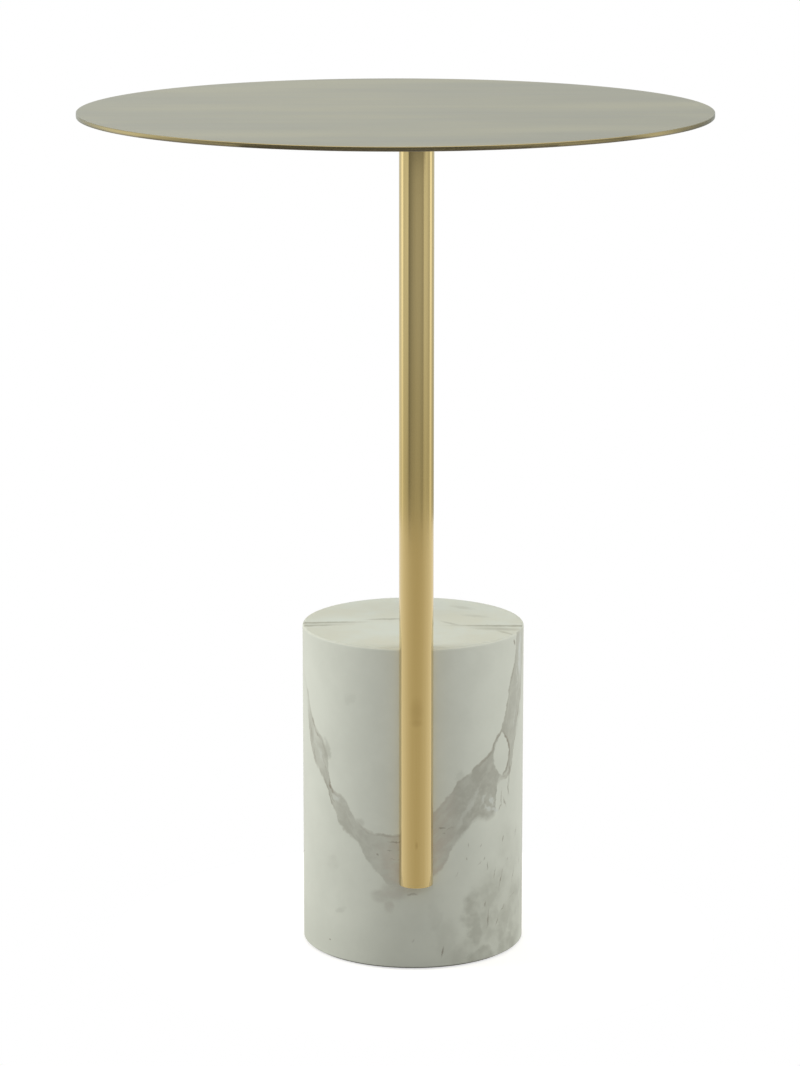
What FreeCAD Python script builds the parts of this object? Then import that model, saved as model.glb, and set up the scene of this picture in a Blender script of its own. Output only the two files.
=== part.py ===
import FreeCAD, Part
import math
import os
import Sketcher
from FreeCAD import Vector

# Wine table: a thin round metal top on a slim round pole, and the pole half set into a groove down the
# front of a marble drum. Millimetres, +Z up. The origin is on the floor, on the axis of the drum, and the
# front, where the pole stands, is -Y.

driving_sizes = [
    # Top
    ("total_height", 550),
    ("top_diameter", 406),
    ("top_thickness", 3),
    ("top_rim_ease", 0.5),
    ("top_shift", -11.5),
    # Plate under the top, and the flange on the head of the pole
    ("flange_diameter", 110),
    ("flange_thickness", 4),
    ("flange_edge_ease", 0.8),
    ("backing_thickness", 4),
    ("spigot_length", 16),
    # Countersunk flange screws
    ("screw_count", 4),
    ("screw_edge_margin", 15),
    ("screw_diameter", 5),
    ("screw_head_diameter", 9.3),
    ("screw_socket", 3),
    ("screw_socket_depth", 1.6),
    ("screw_tip_gap", 0.5),
    # Pole
    ("pole_diameter", 22),
    ("pole_wall", 2),
    ("pole_foot_height", 58),
    ("pole_foot_ease", 0.8),
    ("cap_depth", 8),
    # Marble drum and its felt
    ("base_diameter", 145),
    ("base_height", 214),
    ("base_rim_ease", 0.8),
    ("base_foot_ease", 1),
    ("bore_diameter", 50),
    ("bore_roof", 19),
    ("felt_thickness", 1),
    ("felt_inset", 2),
    # Two studs that hold the pole in its groove
    ("foot_to_fixing", 29),
    ("rim_to_fixing", 46),
    ("stud_diameter", 8),
    ("stud_end_ease", 0.8),
    ("stud_projection", 3),
    ("stud_tip_gap", 0.5),
    ("core_blind_wall", 3.8),
    ("core_margin", 20),
    ("bar_width", 24),
    ("bar_thickness", 8),
    ("bar_end_margin", 15),
    ("washer_diameter", 16),
    ("washer_thickness", 1.6),
    ("nut_across_flats", 13),
    ("nut_height", 6.5),
    # Radial clearances
    ("slip_gap", 0.2),
    ("groove_gap", 0.25),
    ("bar_gap", 0.2),
    ("thread_gap", 0.1),
    ("screw_gap", 0.15),
    ("stud_gap", 0.5),
    ("stone_hole_gap", 1),
]

# Levels are heights above the floor, and a back or tip is a distance in front of the drum's axis.
derived_sizes = [
    ("disc_underside", "sizes.total_height - sizes.top_thickness"),
    ("backing_underside", "disc_underside - sizes.backing_thickness"),
    ("flange_underside", "backing_underside - sizes.flange_thickness"),
    ("screw_circle_radius", "sizes.flange_diameter / 2 - sizes.screw_edge_margin"),
    ("screw_length", "sizes.flange_thickness + sizes.backing_thickness - sizes.screw_tip_gap"),
    ("pole_offset", "sizes.base_diameter / 2"),
    ("pole_length", "flange_underside - sizes.pole_foot_height"),
    ("tube_bore", "sizes.pole_diameter - 2 * sizes.pole_wall"),
    ("plug_diameter", "tube_bore - 2 * sizes.slip_gap"),
    ("stone_height", "sizes.base_height - sizes.felt_thickness"),
    ("groove_length", "sizes.base_height - sizes.pole_foot_height"),
    ("lower_fixing", "sizes.pole_foot_height + sizes.foot_to_fixing"),
    ("upper_fixing", "sizes.base_height - sizes.rim_to_fixing"),
    ("fixing_spacing", "upper_fixing - lower_fixing"),
    ("core_foot", "sizes.pole_foot_height + sizes.cap_depth"),
    ("core_length", "upper_fixing + sizes.core_margin - core_foot"),
    ("core_hole_reach", "plug_diameter / 2 - sizes.core_blind_wall"),
    ("bar_radius", "sizes.bore_diameter / 2 - sizes.bar_gap"),
    ("bar_back", "bar_radius - sizes.bar_thickness"),
    ("nut_back", "bar_back - sizes.washer_thickness - sizes.nut_height"),
    ("stud_front", "pole_offset + core_hole_reach - sizes.stud_tip_gap"),
    ("stud_length", "stud_front - nut_back + sizes.stud_projection"),
]

edge_tolerance = 0.001
fixing_count = 2
hexagon_sides = 6
solid_counts = {}

doc = FreeCAD.newDocument("wine_table")
sizes = doc.addObject("Spreadsheet::Sheet", "sizes")
levels = doc.addObject("Spreadsheet::Sheet", "levels")
for row, (alias, number) in enumerate(driving_sizes, 1):
    sizes.set(f"A{row}", alias)
    sizes.set(f"B{row}", str(number))
    sizes.setAlias(f"B{row}", alias)
doc.recompute()
for row, (alias, formula) in enumerate(derived_sizes, 1):
    levels.set(f"A{row}", alias)
    levels.setAlias(f"B{row}", alias)
    levels.set(f"B{row}", "=" + formula)
doc.recompute()


def value(formula):
    return float(levels.evalExpression(formula))


def add_body(label, x=None, y=None, z=None, solids=1):
    body = doc.addObject("PartDesign::Body", label)
    body.Label = label
    body.AllowCompound = solids > 1
    solid_counts[label] = solids
    for axis, place in (("x", x), ("y", y), ("z", z)):
        if place:
            body.setExpression(f"Placement.Base.{axis}", place)
    return body


def origin_feature(body, role):
    return next(item for item in body.Origin.OriginFeatures if item.Role == role)


def attach(feature, body, role, x=None, y=None, z=None):
    feature.AttachmentSupport = [(origin_feature(body, role), "")]
    feature.MapMode = "FlatFace"
    for axis, offset in (("x", x), ("y", y), ("z", z)):
        if offset:
            feature.setExpression(f"AttachmentOffset.Base.{axis}", offset)


def add_sketch(body, name, role, **offsets):
    sketch = body.newObject("Sketcher::SketchObject", name)
    attach(sketch, body, role, **offsets)
    return sketch


def add_dimension(sketch, formula, *constraint):
    index = sketch.addConstraint(Sketcher.Constraint(*constraint, value(formula)))
    sketch.setExpression(f"Constraints[{index}]", formula)


def add_circle(sketch, diameter):
    circle = sketch.addGeometry(Part.Circle(Vector(), Vector(0, 0, 1), value(diameter) / 2), False)
    sketch.addConstraint(Sketcher.Constraint("Coincident", circle, 3, -1, 1))
    add_dimension(sketch, diameter, "Diameter", circle)


# Joins each piece of a closed outline to the next, end to start.
def close_outline(sketch, pieces):
    for piece, after in zip(pieces, pieces[1:] + pieces[:1]):
        sketch.addConstraint(Sketcher.Constraint("Coincident", piece, 2, after, 1))


def level_lines(sketch, direction, lines):
    for line in lines:
        sketch.addConstraint(Sketcher.Constraint(direction, line))


def extrude(body, kind, sketch, length, reverse=False):
    feature = body.newObject(f"PartDesign::{kind}", sketch.Name + kind)
    feature.Profile = sketch
    feature.Reversed = reverse
    feature.setExpression("Length", length)
    doc.recompute()
    return feature


def turn(body, kind, sketch):
    feature = body.newObject(f"PartDesign::{kind}", sketch.Name + kind)
    feature.Profile = sketch
    feature.ReferenceAxis = (sketch, ["V_Axis"])
    doc.recompute()
    return feature


def add_prism(body, kind, name, role, across_flats, height, **offsets):
    prism = body.newObject(f"PartDesign::{kind}", name)
    attach(prism, body, role, **offsets)
    prism.Polygon = hexagon_sides
    prism.setExpression("Circumradius", f"{across_flats} / sqrt(3)")
    prism.setExpression("Height", height)
    doc.recompute()


# Round edges in one plane square to an axis of the body, picked by where the plane lies.
def round_edges(feature, axis, place, diameter):
    found = []
    for number, edge in enumerate(feature.Shape.Edges, 1):
        curve = edge.Curve
        if isinstance(curve, Part.Circle):
            off_plane = abs(getattr(curve.Center, axis) - value(place))
            off_size = abs(2 * curve.Radius - value(diameter))
            if max(off_plane, off_size) < edge_tolerance:
                found.append(f"Edge{number}")
    return found


def ease(body, base, edges, size):
    feature = body.newObject("PartDesign::Chamfer", base.Name + "Chamfer")
    feature.Base = (base, edges)
    feature.setExpression("Size", size)
    doc.recompute()
    return feature


# Copies chosen features of a piece, or without any the whole piece, round the screw circle.
def repeat_round(body, originals=()):
    pattern = body.newObject("PartDesign::PolarPattern", body.Name + "_ring")
    pattern.Axis = (origin_feature(body, "Z_Axis"), [""])
    pattern.Originals = list(originals)
    pattern.TransformMode = "Features" if originals else "Whole shape"
    pattern.Angle = 360
    pattern.setExpression("Occurrences", "sizes.screw_count")
    body.Tip = pattern


# The same for the upper one of the two fixings.
def repeat_up(body, originals=()):
    pattern = body.newObject("PartDesign::LinearPattern", body.Name + "_pair")
    pattern.Direction = (origin_feature(body, "Z_Axis"), [""])
    pattern.Originals = list(originals)
    pattern.TransformMode = "Features" if originals else "Whole shape"
    pattern.Occurrences = fixing_count
    pattern.setExpression("Length", "levels.fixing_spacing")
    body.Tip = pattern


# Half section of a countersunk screw or of its hole: a right-angled cone, then the straight shank.
def add_countersunk_section(sketch, gap, length):
    head = f"(sizes.screw_head_diameter / 2 + {gap})"
    shank = f"(sizes.screw_diameter / 2 + {gap})"
    shoulder = value(f"{head} - {shank}")
    corners = [
        Vector(),
        Vector(value(head), 0),
        Vector(value(shank), shoulder),
        Vector(value(shank), value(length)),
        Vector(0, value(length)),
    ]
    lines = []
    for start, end in zip(corners, corners[1:] + corners[:1]):
        lines.append(sketch.addGeometry(Part.LineSegment(start, end), False))
    close_outline(sketch, lines)
    face, cone, side, tip, axis = lines
    sketch.addConstraint(Sketcher.Constraint("Coincident", face, 1, -1, 1))
    level_lines(sketch, "Horizontal", (face, tip))
    level_lines(sketch, "Vertical", (side, axis))
    add_dimension(sketch, head, "DistanceX", face, 1, face, 2)
    add_dimension(sketch, shank, "DistanceX", tip, 2, tip, 1)
    add_dimension(sketch, f"{head} - {shank}", "DistanceY", cone, 1, cone, 2)
    add_dimension(sketch, length, "DistanceY", axis, 2, axis, 1)


# Section of the clamp bar: an arc that follows the hollow's wall, two sides and a flat back.
def add_bar_section(sketch):
    half_width = value("sizes.bar_width / 2")
    back = value("levels.bar_back")
    half_angle = math.asin(half_width / value("levels.bar_radius"))
    front = -math.pi / 2
    rim = Part.Circle(Vector(), Vector(0, 0, 1), value("levels.bar_radius"))
    arc = Part.ArcOfCircle(rim, front - half_angle, front + half_angle)
    right_back = Vector(half_width, -back)
    left_back = Vector(-half_width, -back)
    shapes = [
        arc,
        Part.LineSegment(arc.EndPoint, right_back),
        Part.LineSegment(right_back, left_back),
        Part.LineSegment(left_back, arc.StartPoint),
    ]
    pieces = [sketch.addGeometry(shape, False) for shape in shapes]
    close_outline(sketch, pieces)
    face, right_side, rear, left_side = pieces
    sketch.addConstraint(Sketcher.Constraint("Coincident", face, 3, -1, 1))
    sketch.addConstraint(Sketcher.Constraint("Symmetric", rear, 1, rear, 2, -2))
    level_lines(sketch, "Vertical", (right_side, left_side))
    add_dimension(sketch, "levels.bar_radius", "Radius", face)
    add_dimension(sketch, "sizes.bar_width", "DistanceX", rear, 2, rear, 1)
    add_dimension(sketch, "levels.bar_back", "DistanceY", rear, 1, -1, 1)


# Thin round top. It overhangs the drum evenly fore and aft, and stands a little to the left of its axis.
top_disc = add_body("top_disc", x="sizes.top_shift", z="levels.disc_underside")
disc_outline = add_sketch(top_disc, "disc_outline", "XY_Plane")
add_circle(disc_outline, "sizes.top_diameter")
disc_plate = extrude(top_disc, "Pad", disc_outline, "sizes.top_thickness")
disc_rim = round_edges(disc_plate, "z", "sizes.top_thickness", "sizes.top_diameter")
ease(top_disc, disc_plate, disc_rim, "sizes.top_rim_ease")

# Backing plate brazed under the top, with the tapped holes that the flange screws go into.
backing = add_body("top_backing_plate", y="-levels.pole_offset", z="levels.backing_underside")
backing_outline = add_sketch(backing, "backing_outline", "XY_Plane")
add_circle(backing_outline, "sizes.flange_diameter")
extrude(backing, "Pad", backing_outline, "sizes.backing_thickness")
tapped_hole = add_sketch(backing, "tapped_hole", "XY_Plane", x="levels.screw_circle_radius")
add_circle(tapped_hole, "sizes.screw_diameter + 2 * sizes.thread_gap")
repeat_round(backing, [extrude(backing, "Pocket", tapped_hole, "sizes.backing_thickness", reverse=True)])

# Flange that the pole butts against, with a spigot down into the tube and countersunk screw holes.
flange = add_body("pole_flange", y="-levels.pole_offset", z="levels.flange_underside")
flange_outline = add_sketch(flange, "flange_outline", "XY_Plane")
add_circle(flange_outline, "sizes.flange_diameter")
flange_plate = extrude(flange, "Pad", flange_outline, "sizes.flange_thickness")
flange_rim = round_edges(flange_plate, "z", "0", "sizes.flange_diameter")
ease(flange, flange_plate, flange_rim, "sizes.flange_edge_ease")
spigot_outline = add_sketch(flange, "spigot_outline", "XY_Plane")
add_circle(spigot_outline, "levels.plug_diameter")
extrude(flange, "Pad", spigot_outline, "sizes.spigot_length", reverse=True)
sunk_hole = add_sketch(flange, "sunk_hole", "XZ_Plane", x="levels.screw_circle_radius")
add_countersunk_section(sunk_hole, "sizes.screw_gap", "sizes.flange_thickness")
repeat_round(flange, [turn(flange, "Groove", sunk_hole)])

# Countersunk socket screws, their heads flush with the flange's underside.
screws = add_body("flange_screws", y="-levels.pole_offset", z="levels.flange_underside",
                  solids=int(sizes.screw_count))
screw_section = add_sketch(screws, "screw_section", "XZ_Plane", x="levels.screw_circle_radius")
add_countersunk_section(screw_section, "0", "levels.screw_length")
turn(screws, "Revolution", screw_section)
add_prism(screws, "SubtractivePrism", "screw_drive", "XY_Plane", "sizes.screw_socket",
          "sizes.screw_socket_depth", x="levels.screw_circle_radius")
repeat_round(screws)

# Pole: a tube whose rear wall has a clearance hole for each stud.
pole = add_body("pole_tube", y="-levels.pole_offset", z="sizes.pole_foot_height")
pole_outline = add_sketch(pole, "pole_outline", "XY_Plane")
add_circle(pole_outline, "sizes.pole_diameter")
add_circle(pole_outline, "levels.tube_bore")
pole_wall = extrude(pole, "Pad", pole_outline, "levels.pole_length")
pole_foot = round_edges(pole_wall, "z", "0", "sizes.pole_diameter")
ease(pole, pole_wall, pole_foot, "sizes.pole_foot_ease")
wall_hole = add_sketch(pole, "wall_hole", "XZ_Plane", y="sizes.foot_to_fixing")
add_circle(wall_hole, "sizes.stud_diameter + 2 * sizes.stud_gap")
repeat_up(pole, [extrude(pole, "Pocket", wall_hole, "sizes.pole_diameter")])

# Plug flush with the foot of the pole.
end_cap = add_body("pole_end_cap", y="-levels.pole_offset", z="sizes.pole_foot_height")
cap_outline = add_sketch(end_cap, "cap_outline", "XY_Plane")
add_circle(cap_outline, "levels.plug_diameter")
extrude(end_cap, "Pad", cap_outline, "sizes.cap_depth")

# Solid core that stands on the plug, with blind tapped holes from the rear.
core = add_body("pole_core", y="-levels.pole_offset", z="levels.core_foot")
core_outline = add_sketch(core, "core_outline", "XY_Plane")
add_circle(core_outline, "levels.plug_diameter")
extrude(core, "Pad", core_outline, "levels.core_length")
core_hole = add_sketch(core, "core_hole", "XZ_Plane", y="levels.lower_fixing - levels.core_foot",
                       z="levels.core_hole_reach")
add_circle(core_hole, "sizes.stud_diameter + 2 * sizes.thread_gap")
repeat_up(core, [extrude(core, "Pocket", core_hole, "levels.plug_diameter")])

# Marble drum: a half-round groove that stops at the foot of the pole, a hollow core drilled from below,
# and a hole through the stone between them for each stud.
marble = add_body("marble_base", z="sizes.felt_thickness")
drum_outline = add_sketch(marble, "drum_outline", "XY_Plane")
add_circle(drum_outline, "sizes.base_diameter")
drum = extrude(marble, "Pad", drum_outline, "levels.stone_height")
drum_foot = round_edges(drum, "z", "0", "sizes.base_diameter")
drum = ease(marble, drum, drum_foot, "sizes.base_foot_ease")
drum_rim = round_edges(drum, "z", "levels.stone_height", "sizes.base_diameter")
ease(marble, drum, drum_rim, "sizes.base_rim_ease")
bore_outline = add_sketch(marble, "bore_outline", "XY_Plane")
add_circle(bore_outline, "sizes.bore_diameter")
extrude(marble, "Pocket", bore_outline, "levels.stone_height - sizes.bore_roof", reverse=True)
groove_outline = add_sketch(marble, "groove_outline", "XY_Plane", y="-levels.pole_offset",
                            z="levels.stone_height")
add_circle(groove_outline, "sizes.pole_diameter + 2 * sizes.groove_gap")
extrude(marble, "Pocket", groove_outline, "levels.groove_length")
stone_hole = add_sketch(marble, "stone_hole", "XZ_Plane", y="levels.lower_fixing - sizes.felt_thickness")
add_circle(stone_hole, "sizes.stud_diameter + 2 * sizes.stone_hole_gap")
repeat_up(marble, [extrude(marble, "Pocket", stone_hole, "levels.pole_offset", reverse=True)])

# Studs from the core, through the stone, to the nuts in the hollow of the drum.
studs = add_body("pole_studs", y="-levels.stud_front", z="levels.lower_fixing", solids=fixing_count)
stud_outline = add_sketch(studs, "stud_outline", "XZ_Plane")
add_circle(stud_outline, "sizes.stud_diameter")
stud_rod = extrude(studs, "Pad", stud_outline, "levels.stud_length", reverse=True)
stud_ends = round_edges(stud_rod, "y", "0", "sizes.stud_diameter")
stud_ends += round_edges(stud_rod, "y", "levels.stud_length", "sizes.stud_diameter")
ease(studs, stud_rod, stud_ends, "sizes.stud_end_ease")
repeat_up(studs)

# Clamp bar, cut from round stock so that its face follows the wall of the hollow.
bar = add_body("clamp_bar", z="levels.lower_fixing - sizes.bar_end_margin")
bar_section = add_sketch(bar, "bar_section", "XY_Plane")
add_bar_section(bar_section)
extrude(bar, "Pad", bar_section, "levels.fixing_spacing + 2 * sizes.bar_end_margin")
bar_hole = add_sketch(bar, "bar_hole", "XZ_Plane", y="sizes.bar_end_margin")
add_circle(bar_hole, "sizes.stud_diameter + 2 * sizes.stud_gap")
repeat_up(bar, [extrude(bar, "Pocket", bar_hole, "levels.bar_radius", reverse=True)])

# Plain washers behind the bar, and hexagon nuts behind the washers.
washers = add_body("stud_washers", y="-levels.bar_back", z="levels.lower_fixing", solids=fixing_count)
washer_outline = add_sketch(washers, "washer_outline", "XZ_Plane")
add_circle(washer_outline, "sizes.washer_diameter")
add_circle(washer_outline, "sizes.stud_diameter + 2 * sizes.stud_gap")
extrude(washers, "Pad", washer_outline, "sizes.washer_thickness", reverse=True)
repeat_up(washers)

nuts = add_body("stud_nuts", y="-levels.nut_back - sizes.nut_height", z="levels.lower_fixing",
                solids=fixing_count)
add_prism(nuts, "AdditivePrism", "nut_block", "XZ_Plane", "sizes.nut_across_flats", "sizes.nut_height",
          z="-sizes.nut_height")
nut_thread = add_sketch(nuts, "nut_thread", "XZ_Plane")
add_circle(nut_thread, "sizes.stud_diameter + 2 * sizes.thread_gap")
extrude(nuts, "Pocket", nut_thread, "sizes.nut_height")
repeat_up(nuts)

# Felt glued under the drum, set in from its edge. It covers the mouth of the hollow.
felt = add_body("felt_pad")
felt_outline = add_sketch(felt, "felt_outline", "XY_Plane")
add_circle(felt_outline, "sizes.base_diameter - 2 * sizes.felt_inset")
extrude(felt, "Pad", felt_outline, "sizes.felt_thickness")

doc.recompute()
for item in doc.Objects:
    if "Invalid" in item.State or "Error" in item.State:
        raise RuntimeError(f"{item.Name} failed: {item.State}")
    if item.TypeId in ("PartDesign::Pocket", "PartDesign::Groove", "PartDesign::SubtractivePrism"):
        if item.Shape.Volume >= item.BaseFeature.Shape.Volume:
            raise RuntimeError(f"{item.Name} cuts nothing")
bodies = doc.findObjects("PartDesign::Body")
for body in bodies:
    shape = body.Shape
    if shape.isNull() or not shape.isValid():
        raise RuntimeError(f"{body.Label} has no valid shape")
    if len(shape.Solids) != solid_counts[body.Label]:
        raise RuntimeError(f"{body.Label} has {len(shape.Solids)} solids")

os.makedirs("parts", exist_ok=True)
for body in bodies:
    body.Shape.exportStep(f"parts/{body.Label}.step")
    print(body.Label, len(body.Shape.Solids), "solids,", round(body.Shape.Volume), "cubic mm")
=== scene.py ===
import math

import bmesh
import bpy
from mathutils import Matrix, Vector


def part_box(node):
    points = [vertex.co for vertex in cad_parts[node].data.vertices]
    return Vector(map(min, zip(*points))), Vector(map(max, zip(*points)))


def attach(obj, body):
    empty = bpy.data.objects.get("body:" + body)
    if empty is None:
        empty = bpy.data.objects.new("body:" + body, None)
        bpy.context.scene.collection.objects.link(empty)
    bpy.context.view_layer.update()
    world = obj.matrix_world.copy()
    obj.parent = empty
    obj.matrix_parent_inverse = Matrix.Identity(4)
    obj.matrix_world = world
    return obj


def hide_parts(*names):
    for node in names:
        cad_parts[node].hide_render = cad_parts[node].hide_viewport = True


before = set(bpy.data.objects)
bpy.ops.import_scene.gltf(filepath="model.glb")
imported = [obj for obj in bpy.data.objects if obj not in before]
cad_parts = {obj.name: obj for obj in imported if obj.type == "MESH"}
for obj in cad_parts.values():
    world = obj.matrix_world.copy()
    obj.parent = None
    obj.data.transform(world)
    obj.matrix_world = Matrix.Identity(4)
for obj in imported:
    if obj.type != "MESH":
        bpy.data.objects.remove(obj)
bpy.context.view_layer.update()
scene = bpy.context.scene
scene.view_settings.view_transform = "Standard"
print("frame loaded, nodes:", len(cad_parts))

eased = {"interpolation_type": "SMOOTHSTEP"}   # for a map range: value, from, to, and what they become
colourMix = {"out": 2, "data_type": "RGBA"}    # for a mix of colours: 0 is the share, 6 and 7 the colours


def toLinear(hexColour):  # sRGB hex to the linear colour that sockets take
    channels = [int(hexColour[i:i + 2], 16) / 255 for i in (1, 3, 5)]
    return [c / 12.92 if c <= 0.04045 else ((c + 0.055) / 1.055) ** 2.4 for c in channels] + [1.0]


def addNode(tree, kind, inputs=(), out=0, stops=(), curve=(), **settings):  # gives the output asked for
    node = tree.nodes.new(kind)
    for name, setting in settings.items():
        setattr(node, name, setting)
    for place, (position, colour) in enumerate(stops):  # only a colour ramp has stops
        spots = node.color_ramp.elements
        spot = spots[place] if place < len(spots) else spots.new(position)
        spot.position = position
        spot.color = colour
    for place, (position, height) in enumerate(curve):  # only a float curve has points
        points = node.mapping.curves[0].points
        if place < len(points):
            points[place].location = (position, height)
        else:
            points.new(position, height)
    if curve:
        node.mapping.update()
    named = inputs.items() if isinstance(inputs, dict) else enumerate(inputs)  # by name or in order
    for name, given in named:
        if isinstance(given, bpy.types.NodeSocket):
            tree.links.new(given, node.inputs[name])
        else:
            node.inputs[name].default_value = toLinear(given) if isinstance(given, str) else given
    return node.outputs[out] if len(node.outputs) else node


def newMaterial(name):
    material = bpy.data.materials.new(name)
    material.use_nodes = True
    material.node_tree.nodes.clear()
    return material, material.node_tree


def softSpot(tree, place, centre, reach):  # 0 at the spot's centre, 1 at its edge
    near = addNode(tree, "ShaderNodeMapping", {
        "Vector": place, "Location": [-c / r for c, r in zip(centre, reach)],
        "Scale": [1 / r for r in reach]})
    return addNode(tree, "ShaderNodeVectorMath", [near], "Value", operation="LENGTH")


# Camera, fitted to the outlines of the top, the pole and the drum

photoCamera = {
    "imageHeight": 1066,    # pixels
    "focalLength": 3832.7,  # pixels
    "sensorHeight": 36,     # mm
    "clipEnd": 50,          # metres, as the next two
    "distance": 2.442,      # on the level, from the drum's axis
    "height": 0.810,
    "azimuth": -1.6,        # degrees round from the front, minus is to the left
    "pitch": -12.38,        # degrees, as the next
    "turn": 0.2018,         # sets the drum right of the middle of the frame
}


def makeCamera(spec):
    lens = bpy.data.cameras.new("photoCamera")
    lens.sensor_fit = "VERTICAL"
    lens.sensor_height = spec["sensorHeight"]
    lens.lens = spec["sensorHeight"] * spec["focalLength"] / spec["imageHeight"]
    lens.clip_end = spec["clipEnd"]
    camera = bpy.data.objects.new("photoCamera", lens)
    bpy.context.collection.objects.link(camera)
    azimuth = math.radians(spec["azimuth"])
    camera.location = (
        spec["distance"] * math.sin(azimuth), -spec["distance"] * math.cos(azimuth), spec["height"])
    camera.rotation_euler = (math.radians(90 + spec["pitch"]), 0, azimuth + math.radians(spec["turn"]))
    scene.camera = camera


makeCamera(photoCamera)
print("camera set")


# Brass sheet for the top, brushed in one direction and lacquered: a paler gold than the pole,
# soft straight hairlines along X and a grey sheen where it is seen along the surface

topBrass = {
    "gold": "#DAD2AB",
    "goldLow": "#D0C79D",              # in the valleys of the brushing
    "edgeTint": "#BEC3C0",             # metal's colour close to grazing
    "roughness": (0.30, 0.40),
    "lacquerRoughness": 0.28,
    "hairline": (0.070, 0.0009),       # length and width; real ones are near 0.2 mm wide and wouldn't show
    "streak": (0.24, 0.007),
    "cloud": (0.20, 0.050),            # rubbed patches
    "cloudShade": (0.89, 1.09),
    "rimBand": (0.00048, 0.00032),     # the turned rim, smoother and browner, starts this far in
    "rimColour": "#BFAD7A",
    "rimRoughness": 0.09,
    "rimShade": "#8A7E66",             # painted shade along its lower edge, which faces away from the light
    "rimShadeRise": (0.0014, 0.0006),
}


def makeTopBrass(spec):
    material, tree = newMaterial("brushedLacqueredBrass")
    place = addNode(tree, "ShaderNodeTexCoord", out="Object")
    low, high = (Vector(corner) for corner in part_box("top_disc"))
    radius = (high.x - low.x) / 2
    outward = softSpot(tree, place, (low + high) / 2, (radius, radius, 1))
    rim = addNode(tree, "ShaderNodeMapRange", [outward, *(1 - inset / radius for inset in spec["rimBand"])])
    noises = []
    for (length, width), detail, rough in (
            (spec["hairline"], 3.0, 0.6), (spec["streak"], 4.0, 0.55), (spec["cloud"], 2.0, 0.5)):
        drawn = addNode(tree, "ShaderNodeMapping", {
            "Vector": place, "Scale": (1 / length, 1 / width, 1 / width)})
        noises.append(addNode(tree, "ShaderNodeTexNoise", {
            "Vector": drawn, "Scale": 1.0, "Detail": detail, "Roughness": rough}, "Fac"))
    hairlines, streaks, clouds = noises
    brushed = addNode(tree, "ShaderNodeMath", [hairlines, streaks], operation="ADD")
    brushed = addNode(tree, "ShaderNodeMath", [brushed, 0.5], operation="MULTIPLY")
    colour = addNode(tree, "ShaderNodeMix", {
        0: brushed, 6: spec["goldLow"], 7: spec["gold"]}, **colourMix)
    shade = addNode(tree, "ShaderNodeMapRange", [clouds, 0.35, 0.65, *spec["cloudShade"]])
    colour = addNode(tree, "ShaderNodeMix", {
        0: 1.0, 6: colour, 7: shade}, **colourMix, blend_type="MULTIPLY")
    colour = addNode(tree, "ShaderNodeMix", {0: rim, 6: colour, 7: spec["rimColour"]}, **colourMix)
    # painted shade: the rim's lower edge is darkened in its colour, where the light doesn't reach it
    height = addNode(tree, "ShaderNodeSeparateXYZ", [place], "Z")
    paintedRimShade = addNode(tree, "ShaderNodeMapRange", [
        height, *(low.z + rise for rise in spec["rimShadeRise"]), 0.0, rim])
    colour = addNode(tree, "ShaderNodeMix", {0: paintedRimShade, 6: colour, 7: spec["rimShade"]}, **colourMix)
    worn = addNode(tree, "ShaderNodeMath", [streaks, clouds], operation="ADD")
    roughness = addNode(tree, "ShaderNodeMapRange", [worn, 0.75, 1.25, *spec["roughness"]])
    roughness = addNode(tree, "ShaderNodeMix", {0: rim, 2: roughness, 3: spec["rimRoughness"]})
    bump = addNode(tree, "ShaderNodeBump", {"Height": brushed, "Strength": 0.10, "Distance": 0.0003})
    shader = addNode(tree, "ShaderNodeBsdfPrincipled", {
        "Base Color": colour, "Metallic": 1.0, "Roughness": roughness, "Normal": bump,
        "Specular Tint": spec["edgeTint"], "Coat Weight": 1.0,
        "Coat Roughness": spec["lacquerRoughness"]})
    addNode(tree, "ShaderNodeOutputMaterial", {"Surface": shader})
    return material


# Drawn brass tube, satin polished along its length and lacquered: warm gold that still shows
# clear reflections, with fine lines along the pole

poleBrass = {
    "gold": "#F2DBA3",
    "goldLow": "#EBD294",
    "roughness": (0.09, 0.13),
    "lacquer": 0.7,
    "lacquerRoughness": 0.12,
    "drawLine": (0.09, 0.0006),  # length and width, coarser than the real 0.1 mm lines so that it shows
    "smudge": 0.028,
    "front": -0.0835,            # the pole's front, along Y
    "marks": [                   # faint marks there: height, half width, half height, strength
        (0.168, 0.0050, 0.0030, 0.16),
        (0.176, 0.0050, 0.0100, 0.20),
        (0.087, 0.0012, 0.0030, 0.25),
    ],
    "markDepth": 0.02,
    "markColour": "#B0955A",
}


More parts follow.
